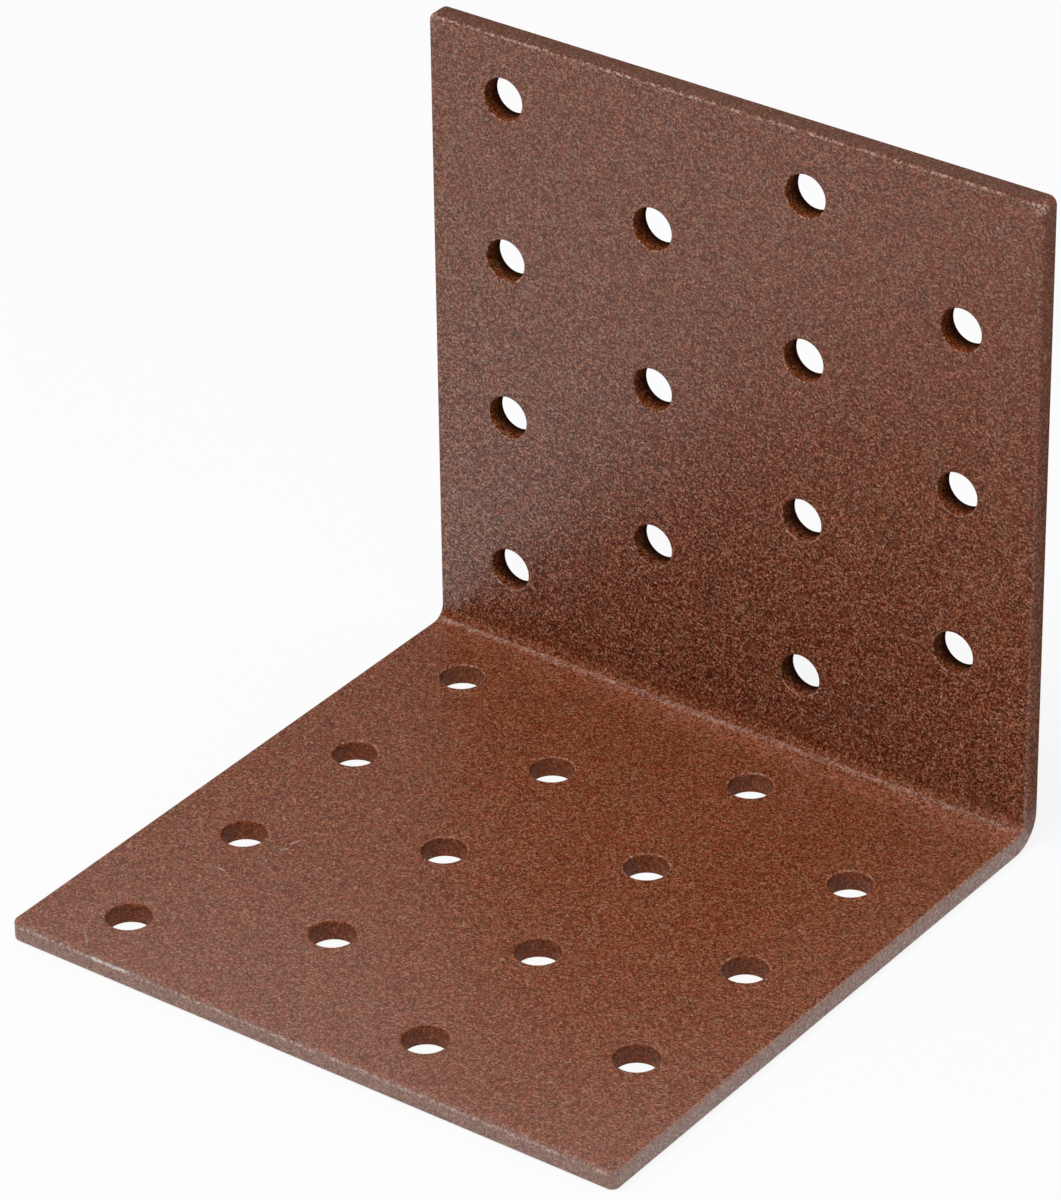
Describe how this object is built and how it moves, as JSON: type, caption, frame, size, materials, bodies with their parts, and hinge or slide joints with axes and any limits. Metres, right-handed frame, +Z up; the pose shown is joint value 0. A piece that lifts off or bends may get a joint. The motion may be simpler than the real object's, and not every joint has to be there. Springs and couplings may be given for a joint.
{
  "type": "angle bracket",
  "caption": "Perforated steel sheet folded to a right angle, with staggered round screw holes in both legs, for joining timber or fixing it to concrete.",
  "frame": {"origin": "under the middle of the base leg, on the plane that it rests on", "axes": "+X along the fold, +Y out of the back of the standing leg, +Z up"},
  "size_m": [0.08, 0.08, 0.08],
  "materials": {
    "brown_coat": "fine-grained rust-brown powder coat, satin, on steel sheet"
  },
  "bodies": {
    "root": {"angle_plate": "brown_coat"}
  },
  "joints": []
}
